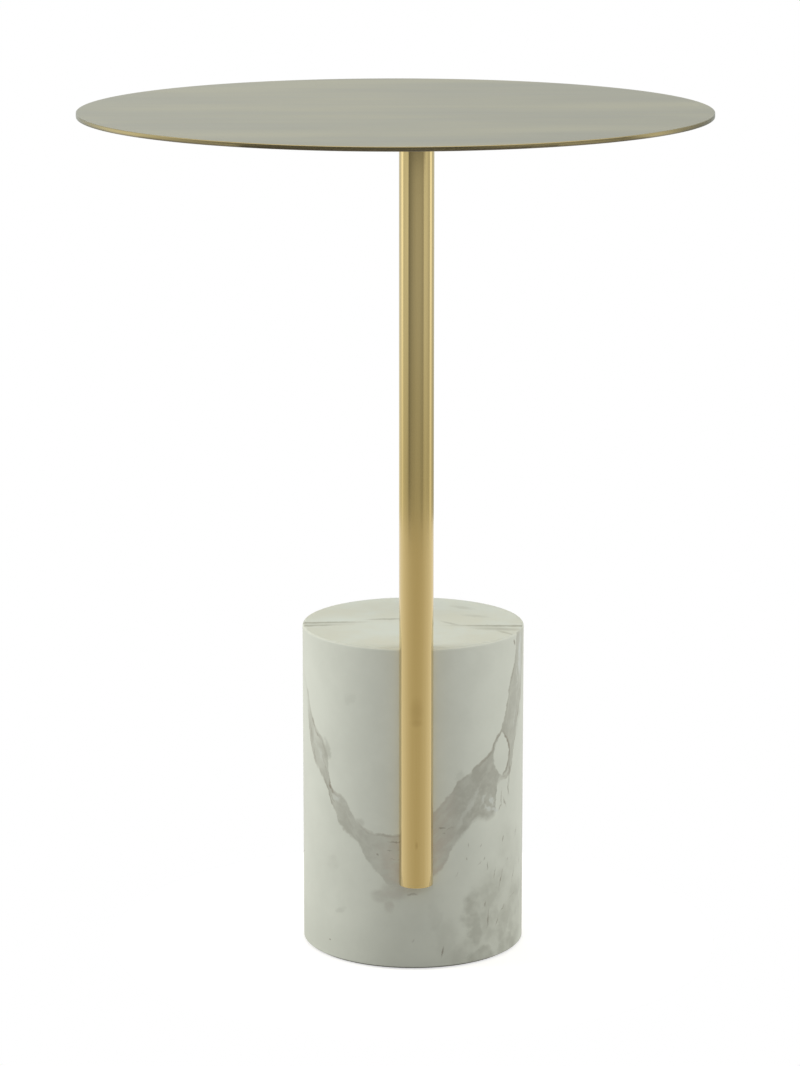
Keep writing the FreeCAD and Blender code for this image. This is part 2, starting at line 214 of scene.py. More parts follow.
def makePoleBrass(spec):
    material, tree = newMaterial("satinDrawnBrass")
    place = addNode(tree, "ShaderNodeTexCoord", out="Object")
    length, width = spec["drawLine"]
    drawn = addNode(tree, "ShaderNodeMapping", {
        "Vector": place, "Scale": (1 / width, 1 / width, 1 / length)})
    lines = addNode(tree, "ShaderNodeTexNoise", {
        "Vector": drawn, "Scale": 1.0, "Detail": 3.0, "Roughness": 0.55}, "Fac")
    smudges = addNode(tree, "ShaderNodeTexNoise", {
        "Vector": place, "Scale": 1 / spec["smudge"], "Detail": 3.0}, "Fac")
    colour = addNode(tree, "ShaderNodeMix", {0: lines, 6: spec["goldLow"], 7: spec["gold"]}, **colourMix)
    for height, wide, tall, strength in spec["marks"]:
        away = softSpot(tree, place, (0, spec["front"], height), (wide, spec["markDepth"], tall))
        mark = addNode(tree, "ShaderNodeMapRange", [away, 1.2, 0.2, 0.0, strength], **eased)
        colour = addNode(tree, "ShaderNodeMix", {0: mark, 6: colour, 7: spec["markColour"]}, **colourMix)
    worn = addNode(tree, "ShaderNodeMath", [lines, smudges], operation="ADD")
    roughness = addNode(tree, "ShaderNodeMapRange", [worn, 0.75, 1.25, *spec["roughness"]])
    bump = addNode(tree, "ShaderNodeBump", {"Height": lines, "Strength": 0.04, "Distance": 0.0002})
    shader = addNode(tree, "ShaderNodeBsdfPrincipled", {
        "Base Color": colour, "Metallic": 1.0, "Roughness": roughness, "Normal": bump,
        "Coat Weight": spec["lacquer"], "Coat Roughness": spec["lacquerRoughness"]})
    addNode(tree, "ShaderNodeOutputMaterial", {"Surface": shader})
    return material


# Zinc plated steel for the fixings: cool grey, mottled by the plating

zincSteel = {"light": "#C9CCCE", "dark": "#A9AEB2", "spangle": 0.0025, "roughness": (0.28, 0.42)}


def makeZincSteel(spec):
    material, tree = newMaterial("zincPlatedSteel")
    place = addNode(tree, "ShaderNodeTexCoord", out="Object")
    spangle = addNode(tree, "ShaderNodeTexNoise", {
        "Vector": place, "Scale": 1 / spec["spangle"], "Detail": 2.0}, "Fac")
    colour = addNode(tree, "ShaderNodeMix", {0: spangle, 6: spec["dark"], 7: spec["light"]}, **colourMix)
    roughness = addNode(tree, "ShaderNodeMapRange", [spangle, 0.3, 0.7, *spec["roughness"]])
    shader = addNode(tree, "ShaderNodeBsdfPrincipled", {
        "Base Color": colour, "Metallic": 1.0, "Roughness": roughness})
    addNode(tree, "ShaderNodeOutputMaterial", {"Surface": shader})
    return material


# White marble, turned and honed: a creamy grey-green white with a soft sheen. One broad taupe vein
# dips through the block, so it draws a U round the front and fine lines over the top

marble = {
    "white": "#D6D9CC",
    "whiteTopPaintedCool": "#D3DAD3",      # painted cooler tint on the top face, offsetting the warmer light that reaches it
    "cloudy": "#CFD2C5",
    "vein": "#ABAB9E",
    "veinPaintedGlow": "#B3A99C",      # painted warm reflection of the brass pole, on the vein round its foot
    "thread": "#8A8272",        # brown threads and cracks
    "smoke": "#A4A597",
    "pale": "#CDD1CA",          # bluish flecks in the vein
    "roughness": (0.45, 0.55),
    "bend": (0.030, 0.0016),    # size of the vein's bends and their reach, metres
    "fray": (0.004, 0.0018),    # the same for its ragged edges
    "swirl": (0.016, 0.0060),   # and for the smoky patches
    "strand": (0.016, 0.0048),  # length and width of the strands in the vein
    "mottle": 0.009,            # sizes of the other patterns
    "breaks": 0.008,
    "grain": 0.013,
    "cloud": 0.045,
    "strandShare": (0.30, 0.60, 0.76, 1.0),  # from and to in a pattern, and what is left of a layer there
    "mottleShare": (0.30, 0.62, 0.70, 1.0),
    "fleckShare": (0.30, 0.60, 0.45, 1.0),
    "paintedGlowShare": (0.32, 0.62),
    "breakShare": (0.36, 0.56, 0.45, 1.0),
    "topShare": (0.25, 0.60, 0.75, 1.0),
    "smokeShare": (0.32, 0.64, 0.38, 0.90),
    "backShare": (0.30, 0.62, 0.50, 1.0),
    "clearShare": (0.30, 0.70),
    "topFace": (0.0006, 0.0002),  # metres below the rim where the side ends and the top face begins
    "curveReach": 100,            # degrees that the curves below go to each side of the front
    "curveTop": 250,              # mm, height at the top of their scale
    "upperEdge": [  # of the vein on the drum's side: degrees round from the front, height in mm
        (-100, 186), (-85, 182), (-76, 177), (-72.5, 173), (-69.4, 165), (-67, 159), (-63, 152.5),
        (-59, 148.5), (-56.5, 146.5), (-53.5, 141), (-51.6, 135), (-50.6, 123.5), (-49.2, 118),
        (-47.3, 113.5), (-40, 111.5), (-36, 105), (-34, 101.5), (-32.4, 97.7), (-30, 94.5), (-27.5, 92.4),
        (-24, 90.5), (-18, 90), (-10.8, 90), (-7, 91), (3, 99), (12.3, 110), (16, 115), (20, 120),
        (22.3, 124.5), (28.4, 127.5), (32, 132.5), (36, 134.5), (39, 137), (42, 140), (44.6, 145),
        (47, 149), (50, 152.5), (51.8, 157), (54.6, 163.5), (57.3, 176.5), (59.2, 183), (62, 189),
        (64.2, 195), (65.2, 202), (67, 214), (72, 240)],
    "lowerEdge": [
        (-100, 196), (-85, 188), (-77, 180), (-73.5, 173), (-72.2, 158), (-70.6, 150), (-67.4, 138),
        (-61.5, 128.5), (-55, 121.5), (-51, 114.5), (-49, 108), (-44.7, 99.5), (-42.3, 93.5), (-37, 88),
        (-30, 81.5), (-26.2, 74), (-24, 70), (-18, 62), (-15, 57), (-9, 56), (-3, 56), (3, 57), (8, 61),
        (13, 66), (20, 81.5), (27, 90.5), (33, 97), (41, 95.5), (46, 99), (46.6, 110), (48, 119),
        (55.5, 121), (59.4, 124), (62, 133), (63.6, 141), (65.3, 146.5), (67, 155.5), (70.2, 164),
        (73.8, 172), (75.2, 182), (76.4, 190), (78.4, 197), (79.5, 213), (84, 240)],
    "edgeBlend": (0.0005, -0.0009),  # metres over which the vein sets in
    "softSide": (-0.02, 0.04),       # from left to right its lower edge gets softer
    "softness": (0.0010, 0.0026),
    "steepTurn": (20, 60),           # degrees over which its arms rise more and more steeply
    "steepness": (0.85, 0.42),
    "fill": [  # how dense the vein is round the drum, 0 to 1
        (-90, 0), (-74, 0.05), (-71.5, 0.5), (-68, 0.8), (-62, 0.65), (-56, 0.8), (-50, 0.92), (-46, 0.62),
        (-41, 0.86), (-25, 0.74), (-14, 0.62), (12, 0.68), (25, 0.95), (50, 1), (57, 0.95), (61, 0.85),
        (66, 0.8), (73, 0.7), (82, 0.55)],
    "upperLine": [  # how dark the line along each edge is
        (-90, 0), (-75, 0.1), (-70, 0.45), (-60, 0.45), (-52, 0.2), (-49, 0.75), (-46, 0.45), (-36, 0.15),
        (-26, 0.45), (-10, 0.4), (8, 0.12), (22, 0.18), (29, 0.42), (50, 0.58), (58, 0.45), (64, 0.6),
        (80, 0.4)],
    "lowerLine": [
        (-90, 0), (-75, 0.15), (-68, 0.45), (-58, 0.4), (-49, 0.6), (-43, 0.2), (0, 0.05), (44, 0.05),
        (50, 0.2), (58, 0.55), (66, 0.6), (76, 0.65), (85, 0.5)],
    "lineWidth": 0.0011,
    "paintedGlowTurn": (26, 8),             # degrees within which the vein takes the painted warm reflection
    "island": (51, 137, 9.2, 15.5),  # white lens in the right arm: degrees, height, half width, half height
    "islandEdge": (0.86, 1.04),      # shares of its size where it ends
    "islandLine": 0.16,              # and the width of the line on its right side
    "islandSide": (-0.1, 0.4, 0.0, 0.8),
    "lobes": [  # spurs of the vein: degrees, height, half length, half width in mm, tilt, strength
        (-18.5, 48.5, 7, 5, 0, 0.75), (-14, 42, 3.4, 5, 0, 0.65), (-11, 52, 10, 6.5, 0, 0.75),
        (-3, 51.5, 9, 2.6, 8, 0.55), (-30, 96.5, 3.6, 3, -20, 0.5), (57.5, 116, 10, 1, 84, 0.6),
        (67, 203, 10, 1.3, -86, 0.7)],
    "threads": [  # brown threads, as the lobes
        (-65, 155.5, 8.5, 0.7, -58, 0.9), (-60.5, 149, 3, 0.9, -50, 0.8), (-67.5, 147, 7, 0.7, -78, 0.7),
        (-64, 135, 4.5, 0.6, -62, 0.6), (-55, 141, 5, 0.45, -62, 0.6), (-54, 129.5, 7, 0.45, -66, 0.55),
        (-55.5, 121.5, 8.5, 0.5, -42, 0.7), (-49.3, 116.3, 2.2, 0.8, -60, 0.9),
        (-47, 108.5, 4, 0.4, -50, 0.5), (-11.3, 85.9, 5.4, 0.5, 3, 0.75), (-14, 79.9, 2.2, 0.45, 0, 0.55),
        (-8.8, 81.2, 2.2, 0.45, 10, 0.5), (-12.4, 74.3, 2.8, 0.45, -4, 0.5), (-8.4, 74.6, 2, 0.4, 8, 0.5),
        (-20, 76.4, 0.8, 0.7, 0, 0.7), (-1.8, 50, 3.4, 0.7, 6, 0.8), (13.4, 94.7, 2.6, 0.5, -12, 0.7),
        (18, 94.2, 2.6, 0.45, 10, 0.6), (14.4, 91.3, 1.6, 0.4, 0, 0.5), (63.4, 208.7, 3, 0.9, -60, 0.8),
        (71.5, 172, 9, 0.5, 75, 0.5), (57, 111.5, 5, 0.6, -74, 0.7), (58, 124, 4.5, 0.6, 70, 0.7),
        (50.6, 108, 6.5, 0.6, -87, 0.75), (53.8, 104, 5, 0.5, -62, 0.7), (49.6, 101.5, 3, 0.5, 55, 0.65),
        (53, 121.5, 4, 0.5, 4, 0.6), (51.2, 53, 8.3, 0.45, 71, 0.78), (72.8, 59, 5, 0.55, 84, 0.73),
        (62.5, 37.8, 5, 0.45, 12, 0.62), (52.5, 32.2, 3.2, 0.5, 48, 0.73), (41, 29, 7.5, 0.55, 82, 0.78),
        (38.8, 38.5, 2, 0.8, 60, 0.88), (28.4, 81, 2.2, 0.45, 86, 0.47), (27.4, 72.6, 1.4, 0.6, 80, 0.47),
        (40.9, 64, 3, 0.5, 85, 0.62), (35.4, 67, 2.4, 0.5, 30, 0.52), (56.7, 64.1, 1.2, 0.8, 60, 0.83),
        (52.3, 79.3, 2.4, 0.5, 85, 0.73), (36, 79.5, 1.6, 0.45, 75, 0.52), (38.6, 70, 1.4, 0.5, 70, 0.52),
        (21.6, 62.7, 2, 0.5, 60, 0.42), (47.8, 23.8, 3.2, 0.45, 68, 0.68),
        (13.8, 10.5, 4.8, 0.55, 77, 0.78), (-1.5, 19.2, 1.2, 0.6, 70, 0.52), (46, 58, 5, 0.4, 78, 0.52),
        (63, 52, 6, 0.4, 72, 0.62), (66, 80, 4, 0.4, 76, 0.47), (-50, 11.6, 0.9, 0.9, 0, 0.9),
        (-83, 61.5, 1, 0.8, 60, 0.9)],
    "patches": [  # smoky patches, as the lobes; the wide soft ones low on the right darken the drum towards the floor
        (32, 39.5, 10, 10, 10, 0.75), (30, 30, 8, 7, 0, 0.7), (33, 20, 6.5, 11, 0, 0.72),
        (38, 5.5, 9, 7, 0, 0.9), (58, 5, 14, 9, 10, 0.8), (16, 20, 9, 13, -15, 0.22),
        (10, 35, 5, 11, 12, 0.2), (48, 34, 26, 30, 0, 0.62), (60, 70, 16, 22, 0, 0.3),
        (30, 7, 20, 12, 0, 0.45), (66, 24, 13, 26, 0, 0.6), (53, 20, 8, 14, -15, 0.72),
        (84, 26, 18, 26, 10, 0.3), (36, 4, 14, 7, 0, 1), (-52.5, 141, 4, 7, 8, 0.55),
        (-35, 177, 3, 5, -25, 0.18), (-41, 36, 6, 3, 20, 0.3), (-47, 66, 6, 5, 0, 0.2),
        (69, 165, 5, 20, -10, 0.35), (24, 127, 5, 4, 30, 0.3), (122, 50, 34, 11, 48, 0.55),
        (-158, 150, 26, 9, 44, 0.55), (168, 112, 22, 7, 46, 0.4)],
    "palePatches": [  # paler, bluish flecks and streaks inside the vein
        (43.5, 108, 4.5, 1.8, -70, 0.85), (40.5, 104, 5, 1.8, -55, 0.8), (45, 101, 4, 1.6, -40, 0.75),
        (38, 110, 6, 1.4, 62, 0.55), (27.5, 106, 9, 2, 58, 0.45), (33, 114, 8, 1.6, 58, 0.45),
        (24, 99, 6, 2, 60, 0.4), (-57.5, 134, 8, 2, -60, 0.45), (-64, 146, 7, 1.2, -62, 0.45),
        (-45, 110, 4, 2.4, -20, 0.6), (71.8, 198, 20, 3.6, 85, 1), (66.2, 186, 8, 1, 80, 0.6),
        (64.2, 158, 7, 1.1, 76, 0.6), (70.5, 178, 8, 1, 82, 0.5)],
    "topLines": [  # lines over the top face: across, back, half length, half width in mm, tilt, strength
        (-62, 1, 34, 2.6, 2, 1), (-17, 9.3, 15, 3, 3, 0.75), (-70, -7, 26, 2.6, 4, 0.95),
        (-60, -3, 26, 6, 3, 0.3), (24.7, -3.2, 11, 2.2, -46, 0.55), (56, -10.8, 34, 3, -2, 1),
        (54, -19, 20, 5, -10, 0.6), (58.7, -29, 10, 2, -51, 0.6), (66.3, -40, 5.5, 2, -63, 0.6),
        (34, 41, 14, 5.5, -35, 0.4), (41, 17, 12, 4, -20, 0.35), (0, 40, 70, 34, 0, 0.16)],
    "backStart": (0.004, 0.030),     # metres behind the drum's axis where other veins set in
    "backSheets": [  # thinner veins at the back: height = a x + b y + c in metres, half width, strength
        (-1.21, 0.2, 0.114, 0.004, 0.75), (-1.3, 0.2, 0.1195, 0.0007, 0.8),
        (-2.2, 0.6, 0.15, 0.0009, 0.65)],
}


markEnd = 1.25  # a mark has faded out this far from its middle, in shares of its size


def markMask(tree, place, marks, whole):  # strongest of many oblong marks, each full out to this share
    axes = addNode(tree, "ShaderNodeSeparateXYZ", [place]).node.outputs
    mask = 0.0
    for count, (across, rise, long, wide, tilt, strength) in enumerate(marks):
        if count % 10 == 0:  # ten at a time, each ten waits for the last, or the shader runs out of room
            place = addNode(tree, "ShaderNodeCombineXYZ", [axes["X"], axes["Y"], mask])
        near = addNode(tree, "ShaderNodeMapping", {
            "Vector": place, "Location": (across, rise, 0), "Rotation": (0, 0, math.radians(tilt)),
            "Scale": (long / 1000, wide / 1000, 1000)}, vector_type="TEXTURE")  # mm, and flat
        away = addNode(tree, "ShaderNodeVectorMath", [near], "Value", operation="LENGTH")
        mark = addNode(tree, "ShaderNodeMapRange", [away, markEnd, whole, 0.0, strength], **eased)
        mask = addNode(tree, "ShaderNodeMath", [mask, mark], operation="MAXIMUM")
    return mask


def makeMarble(spec):
    low, high = (Vector(corner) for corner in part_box("marble_base"))
    radius = (high.x - low.x) / 2
    sweep, tallest = spec["curveReach"], spec["curveTop"]

    def onSide(marks):  # degrees round the drum and mm to metres on the unrolled side
        return [(math.radians(turn) * radius, height / 1000, *rest) for turn, height, *rest in marks]

    def roundDrum(points, most):  # degrees round the drum and heights to a curve's scale of 0 to 1
        return [((turn + sweep) / (2 * sweep), height / most) for turn, height in points]

    material, tree = newMaterial("honedWhiteMarble")
    place = addNode(tree, "ShaderNodeTexCoord", out="Object")
    axes = addNode(tree, "ShaderNodeSeparateXYZ", [place]).node.outputs
    shifts = []
    for size, reach in (spec["bend"], spec["fray"], spec["swirl"]):
        noise = addNode(tree, "ShaderNodeTexNoise", {
            "Vector": place, "Scale": 1 / size, "Detail": 4.0, "Roughness": 0.6}, "Color")
        noise = addNode(tree, "ShaderNodeVectorMath", [noise, (0.5, 0.5, 0.5)], operation="SUBTRACT")
        noise = addNode(tree, "ShaderNodeVectorMath", {0: noise, "Scale": 2 * reach}, operation="SCALE")
        shifts.append(noise)
    bend, fray, swirl = shifts
    shift = addNode(tree, "ShaderNodeVectorMath", [bend, fray], operation="ADD")
    warped = addNode(tree, "ShaderNodeVectorMath", [place, shift], operation="ADD")

    # the side unrolled: metres round from the front, and height
    front = addNode(tree, "ShaderNodeMath", [axes["Y"], -1.0], operation="MULTIPLY")
    turn = addNode(tree, "ShaderNodeMath", [axes["X"], front], operation="ARCTAN2")
    aside = addNode(tree, "ShaderNodeMath", [turn], operation="ABSOLUTE")
    arc = addNode(tree, "ShaderNodeMath", [turn, radius], operation="MULTIPLY")
    side = addNode(tree, "ShaderNodeCombineXYZ", [arc, axes["Z"]])
    side = addNode(tree, "ShaderNodeVectorMath", [side, shift], operation="ADD")
    loose = addNode(tree, "ShaderNodeVectorMath", [side, swirl], operation="ADD")
    sideAxes = addNode(tree, "ShaderNodeSeparateXYZ", [side]).node.outputs
    reach = math.radians(sweep) * radius
    fraction = addNode(tree, "ShaderNodeMapRange", [sideAxes["X"], -reach, reach])
    sideEnd, topStart = (high.z - depth for depth in spec["topFace"])
    onTop = addNode(tree, "ShaderNodeMapRange", [axes["Z"], sideEnd, topStart], **eased)
    offTop = addNode(tree, "ShaderNodeMapRange", [axes["Z"], topStart, sideEnd], **eased)

    # the vein's body, between its two edges; steep stretches count their distance across the vein
    steep = addNode(tree, "ShaderNodeMapRange", [
        aside, *(math.radians(turned) for turned in spec["steepTurn"]), *spec["steepness"]])
    edges = []
    for edge in ("upperEdge", "lowerEdge"):
        points = roundDrum(spec[edge], tallest)
        level = addNode(tree, "ShaderNodeFloatCurve", {"Value": fraction}, curve=points)
        level = addNode(tree, "ShaderNodeMath", [level, tallest / 1000], operation="MULTIPLY")
        above = addNode(tree, "ShaderNodeMath", [sideAxes["Y"], level], operation="SUBTRACT")
        edges.append(addNode(tree, "ShaderNodeMath", [above, steep], operation="MULTIPLY"))
    upper, lower = edges
    softness = addNode(tree, "ShaderNodeMapRange", [axes["X"], *spec["softSide"], *spec["softness"]])
    underUpper = addNode(tree, "ShaderNodeMapRange", [upper, *spec["edgeBlend"]], **eased)
    overLower = addNode(tree, "ShaderNodeMapRange", [lower, spec["edgeBlend"][1], softness], **eased)
    body = addNode(tree, "ShaderNodeMath", [underUpper, overLower], operation="MULTIPLY")
    lobes = markMask(tree, side, onSide(spec["lobes"]), 0.5)
    body = addNode(tree, "ShaderNodeMath", [body, lobes], operation="MAXIMUM")

    # strands and mottling in it, and the white lens, pointed above and below
    along = addNode(tree, "ShaderNodeMath", [arc, spec["strand"][0]], operation="DIVIDE")
    across = addNode(tree, "ShaderNodeMath", [upper, spec["strand"][1]], operation="DIVIDE")
    strandPlace = addNode(tree, "ShaderNodeCombineXYZ", [along, across])
    strands = addNode(tree, "ShaderNodeTexNoise", {
        "Vector": strandPlace, "Scale": 1.0, "Detail": 5.0, "Roughness": 0.62, "Distortion": 0.6}, "Fac")
    mottle = addNode(tree, "ShaderNodeTexNoise", {
        "Vector": warped, "Scale": 1 / spec["mottle"], "Detail": 5.0, "Roughness": 0.65}, "Fac")
    turned, height, wide, tall = spec["island"]
    lens = addNode(tree, "ShaderNodeMapping", {
        "Vector": side, "Location": (math.radians(turned) * radius, height / 1000, 0),
        "Scale": (wide / 1000, tall / 1000, 1)}, vector_type="TEXTURE")
    lensAxes = addNode(tree, "ShaderNodeSeparateXYZ", [lens]).node.outputs
    lensSide = addNode(tree, "ShaderNodeMath", [lensAxes["X"]], operation="ABSOLUTE")
    lensEdge = addNode(tree, "ShaderNodeMath", [
        lensAxes["Y"], lensAxes["Y"], lensSide], operation="MULTIPLY_ADD")
    pale = markMask(tree, loose, onSide(spec["palePatches"]), 0.3)
    flecked = addNode(tree, "ShaderNodeMapRange", [mottle, *spec["fleckShare"]], **eased)
    pale = addNode(tree, "ShaderNodeMath", [pale, flecked], operation="MULTIPLY")
    solid = addNode(tree, "ShaderNodeMath", [1.0, pale], operation="SUBTRACT")
    bodyShares = [
        addNode(tree, "ShaderNodeMapRange", [strands, *spec["strandShare"]], **eased),
        addNode(tree, "ShaderNodeMapRange", [mottle, *spec["mottleShare"]], **eased),
        addNode(tree, "ShaderNodeFloatCurve", {"Value": fraction}, curve=roundDrum(spec["fill"], 1)),
        addNode(tree, "ShaderNodeMapRange", [lensEdge, *spec["islandEdge"]], **eased), solid, offTop]
    # painted reflection: beside the brass pole the vein is tinted warmer, standing in for the warm light
    # the brass throws on the stone
    glowNearPole = addNode(tree, "ShaderNodeMapRange", [
        aside, *(math.radians(turned) for turned in spec["paintedGlowTurn"])], **eased)
    paintedGlow = addNode(tree, "ShaderNodeMapRange", [strands, *spec["paintedGlowShare"]], **eased)
    paintedGlow = addNode(tree, "ShaderNodeMath", [glowNearPole, paintedGlow], operation="MULTIPLY")
    veinColour = addNode(tree, "ShaderNodeMix", {
        0: paintedGlow, 6: spec["vein"], 7: spec["veinPaintedGlow"]}, **colourMix)

    # lines along the vein's edges and right of the lens, and separate threads, all broken here and there
    breaks = addNode(tree, "ShaderNodeTexNoise", {
        "Vector": place, "Scale": 1 / spec["breaks"], "Detail": 3.0}, "Fac")
    breaks = addNode(tree, "ShaderNodeMapRange", [breaks, *spec["breakShare"]], **eased)
    lensLine = addNode(tree, "ShaderNodeMath", [lensEdge, 1.0], operation="SUBTRACT")
    lines = markMask(tree, side, onSide(spec["threads"]), 0.2)
    strengths = [
        addNode(tree, "ShaderNodeFloatCurve", {"Value": fraction}, curve=roundDrum(spec[name], 1))
        for name in ("upperLine", "lowerLine")]
    strengths.append(addNode(tree, "ShaderNodeMapRange", [lensAxes["X"], *spec["islandSide"]], **eased))
    widths = (spec["lineWidth"], spec["lineWidth"], spec["islandLine"])
    for edge, wide, strength in zip((upper, lower, lensLine), widths, strengths):
        off = addNode(tree, "ShaderNodeMath", [edge], operation="ABSOLUTE")
        line = addNode(tree, "ShaderNodeMapRange", [off, wide, wide / 4, 0.0, strength], **eased)
        lines = addNode(tree, "ShaderNodeMath", [lines, line], operation="MAXIMUM")
    topLines = [(right / 1000, back / 1000, *rest) for right, back, *rest in spec["topLines"]]
    flat = addNode(tree, "ShaderNodeCombineXYZ", [axes["X"], axes["Y"]])
    flat = addNode(tree, "ShaderNodeVectorMath", [flat, shift], operation="ADD")
    overTop = markMask(tree, flat, topLines, 0.2)
    topShare = addNode(tree, "ShaderNodeMapRange", [mottle, *spec["topShare"]], **eased)

    # smoky patches, and thinner veins at the back
    grain = addNode(tree, "ShaderNodeTexNoise", {
        "Vector": warped, "Scale": 1 / spec["grain"], "Detail": 3.0, "Roughness": 0.55}, "Fac")
    grain = addNode(tree, "ShaderNodeMapRange", [grain, *spec["smokeShare"]], **eased)
    smoke = markMask(tree, loose, onSide(spec["patches"]), 0.5)
    waving = addNode(tree, "ShaderNodeVectorMath", [warped, swirl], operation="ADD")
    backVeins = 0.0
    for a, b, c, wide, strength in spec["backSheets"]:
        long = math.sqrt(a * a + b * b + 1)
        off = addNode(tree, "ShaderNodeVectorMath", [
            waving, (-a / long, -b / long, 1 / long)], "Value", operation="DOT_PRODUCT")
        off = addNode(tree, "ShaderNodeMath", [off, c / long], operation="SUBTRACT")
        off = addNode(tree, "ShaderNodeMath", [off], operation="ABSOLUTE")
        line = addNode(tree, "ShaderNodeMapRange", [off, 1.4 * wide, 0.5 * wide, 0.0, strength], **eased)
        backVeins = addNode(tree, "ShaderNodeMath", [backVeins, line], operation="MAXIMUM")
    behind = addNode(tree, "ShaderNodeMapRange", [axes["Y"], *spec["backStart"]], **eased)
    backShare = addNode(tree, "ShaderNodeMapRange", [mottle, *spec["backShare"]], **eased)

    # white stone first, then each layer over it: where it lies, what thins it, its colour
    clouds = addNode(tree, "ShaderNodeTexNoise", {
        "Vector": warped, "Scale": 1 / spec["cloud"], "Detail": 5.0, "Roughness": 0.62}, "Fac")
    # the top face's white carries a painted cooler tint, offsetting the warmer light that reaches it
    white = addNode(tree, "ShaderNodeMix", {0: onTop, 6: spec["white"], 7: spec["whiteTopPaintedCool"]}, **colourMix)
    clear = addNode(tree, "ShaderNodeMapRange", [clouds, *spec["clearShare"]], **eased)
    colour = addNode(tree, "ShaderNodeMix", {0: clear, 6: spec["cloudy"], 7: white}, **colourMix)
    for mask, shares, shade in (
            (smoke, [grain, offTop], spec["smoke"]),
            (pale, [offTop], spec["pale"]),
            (body, bodyShares, veinColour),
            (backVeins, [behind, backShare, offTop], veinColour),
            (overTop, [onTop, topShare], spec["smoke"]),
            (lines, [offTop, breaks], spec["thread"])):
        for share in shares:
            mask = addNode(tree, "ShaderNodeMath", [mask, share], operation="MULTIPLY")
        colour = addNode(tree, "ShaderNodeMix", {0: mask, 6: colour, 7: shade}, **colourMix)
    roughness = addNode(tree, "ShaderNodeMapRange", [clouds, 0.3, 0.7, *spec["roughness"]])
    shader = addNode(tree, "ShaderNodeBsdfPrincipled", {
        "Base Color": colour, "Roughness": roughness, "IOR": 1.49})
    addNode(tree, "ShaderNodeOutputMaterial", {"Surface": shader})
    return material


# Pressed wool felt under the drum: grey, matt, with short tangled fibres

felt = {"dark": "#73716A", "light": "#939188", "fibre": 0.0012, "fleck": 0.006}


def makeFelt(spec):
    material, tree = newMaterial("pressedWoolFelt")
    place = addNode(tree, "ShaderNodeTexCoord", out="Object")
    fibres = addNode(tree, "ShaderNodeTexNoise", {
        "Vector": place, "Scale": 1 / spec["fibre"], "Detail": 4.0, "Distortion": 1.5}, "Fac")
    flecks = addNode(tree, "ShaderNodeTexNoise", {
        "Vector": place, "Scale": 1 / spec["fleck"], "Detail": 2.0}, "Fac")
    tangle = addNode(tree, "ShaderNodeMath", [fibres, flecks], operation="MULTIPLY")
    tangle = addNode(tree, "ShaderNodeMapRange", [tangle, 0.12, 0.42])
    colour = addNode(tree, "ShaderNodeMix", {0: tangle, 6: spec["dark"], 7: spec["light"]}, **colourMix)
    bump = addNode(tree, "ShaderNodeBump", {"Height": fibres, "Strength": 0.6, "Distance": 0.0006})
    shader = addNode(tree, "ShaderNodeBsdfPrincipled", {
        "Base Color": colour, "Roughness": 0.95, "Sheen Weight": 0.3, "Normal": bump})
    addNode(tree, "ShaderNodeOutputMaterial", {"Surface": shader})
    return material


topBrassMaterial = makeTopBrass(topBrass)
poleBrassMaterial = makePoleBrass(poleBrass)
zincMaterial = makeZincSteel(zincSteel)
marbleMaterial = makeMarble(marble)
feltMaterial = makeFelt(felt)
print("materials made")


# Shared modelling steps

modelling = {
    "weld": 1e-6,      # metres, points this close become one
    "onRing": 1e-5,    # and points this close to a ring lie on it
    "flatAngle": 0.2,  # degrees, faces that turn less become one
    "sharpAngle": 35,  # and edges that turn more stay sharp
}


def turnOutline(outline, axis, steps, closed=False):  # spins (radius, height) points about an upright axis
    shape = bmesh.new()
    verts = [shape.verts.new((axis[0] + radius, axis[1], height)) for radius, height in outline]
    pairs = list(zip(verts, verts[1:])) + ([(verts[-1], verts[0])] if closed else [])
    edges = [shape.edges.new(pair) for pair in pairs]
    bmesh.ops.spin(
        shape, geom=verts + edges, cent=(axis[0], axis[1], 0), axis=(0, 0, 1),
        angle=2 * math.pi, steps=steps, use_merge=True)
    bmesh.ops.remove_doubles(shape, verts=shape.verts, dist=modelling["weld"])
    bmesh.ops.dissolve_limit(
        shape, angle_limit=math.radians(modelling["flatAngle"]), verts=shape.verts, edges=shape.edges)
    bmesh.ops.recalc_face_normals(shape, faces=shape.faces)
    return shape


def easeRing(shape, axis, radius, height, width, segments):  # rounds one turned corner
    centre = Vector(axis)
    close = modelling["onRing"]
    ring = [
        edge for edge in shape.edges
        if all(abs(v.co.z - height) < close and abs((v.co.xy - centre).length - radius) < close
               for v in edge.verts)]
    bmesh.ops.bevel(
        shape, geom=ring, offset=width, offset_type="OFFSET", segments=segments,
        profile=0.5, affect="EDGES", material=-1)


def turnPlate(low, high, axis, spec):  # a flat round with both its edges eased
    radius = (high.x - low.x) / 2
    shape = turnOutline([(0, low.z), (radius, low.z), (radius, high.z), (0, high.z)], axis, spec["steps"])
    for height in (low.z, high.z):
        easeRing(shape, axis, radius, height, spec["edge"], spec["segments"])
    return shape


def meshObject(shape, name, material):
    mesh = bpy.data.meshes.new(name)
    shape.to_mesh(mesh)
    shape.free()
    mesh.materials.append(material)
    piece = bpy.data.objects.new(name, mesh)
    bpy.context.collection.objects.link(piece)
    return piece


def finishPiece(piece, node):
    piece.data.polygons.foreach_set("use_smooth", [True] * len(piece.data.polygons))
    piece.data.set_sharp_from_angle(angle=math.radians(modelling["sharpAngle"]))
    piece.modifiers.new("evenShading", "WEIGHTED_NORMAL").keep_sharp = True
    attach(piece, "root")
    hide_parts(node)
    return piece


# Table top: one thin turned sheet with its edges just broken

tableTop = {"edge": 0.0004, "segments": 3, "steps": 256}


